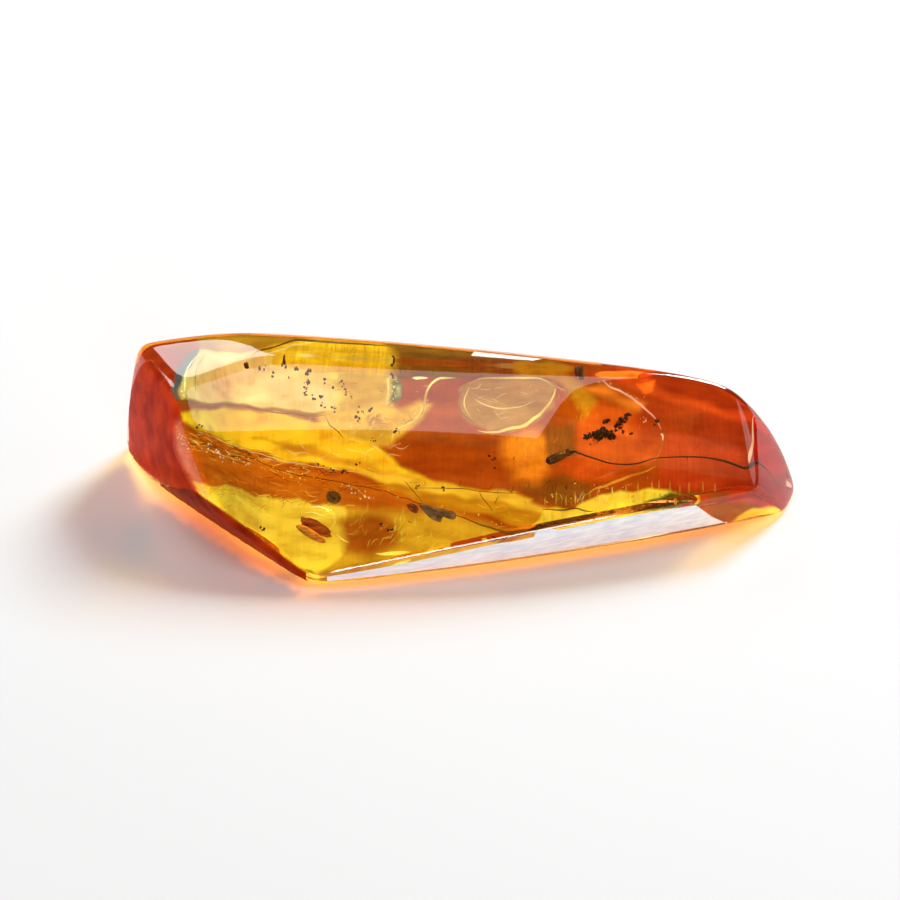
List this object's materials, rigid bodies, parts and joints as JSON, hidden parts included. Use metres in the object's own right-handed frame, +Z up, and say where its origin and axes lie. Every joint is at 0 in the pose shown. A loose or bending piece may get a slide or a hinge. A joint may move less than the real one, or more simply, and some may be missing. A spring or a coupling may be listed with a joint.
{
  "type": "insect in amber",
  "caption": "Polished see-through amber stone with a domed front and a flat base, holding an insect with a long antenna and scraps of debris.",
  "frame": {"origin": "on the surface the stone rests on, below the middle of its outline", "axes": "+X along the stone towards its narrow end, -Y towards the broad domed front, +Z up from the flat base"},
  "size_m": [0.0514, 0.0196, 0.012],
  "materials": {
    "amber": "polished, see-through honey to red amber",
    "insect": "dark olive-brown chitin",
    "bristly_scrap": "matt, black-brown",
    "wood_flake": "matt, blue-grey with a mouldy bloom",
    "capsule": "satin, light brown",
    "capsule_husk": "satin, red-brown",
    "crumb": "matt, dark plant crumbs"
  },
  "bodies": {
    "root": {"amber_upper": "amber", "amber_lower": "amber", "insect": "insect", "bristly_scrap": "bristly_scrap", "wood_flake": "wood_flake", "capsule": "capsule", "capsule_husk": "capsule_husk", "bark_crumb": "crumb", "dust_crumb": "crumb", "soil_crumb": "crumb", "wood_crumb": "crumb", "leaf_crumb": "crumb"}
  },
  "joints": []
}
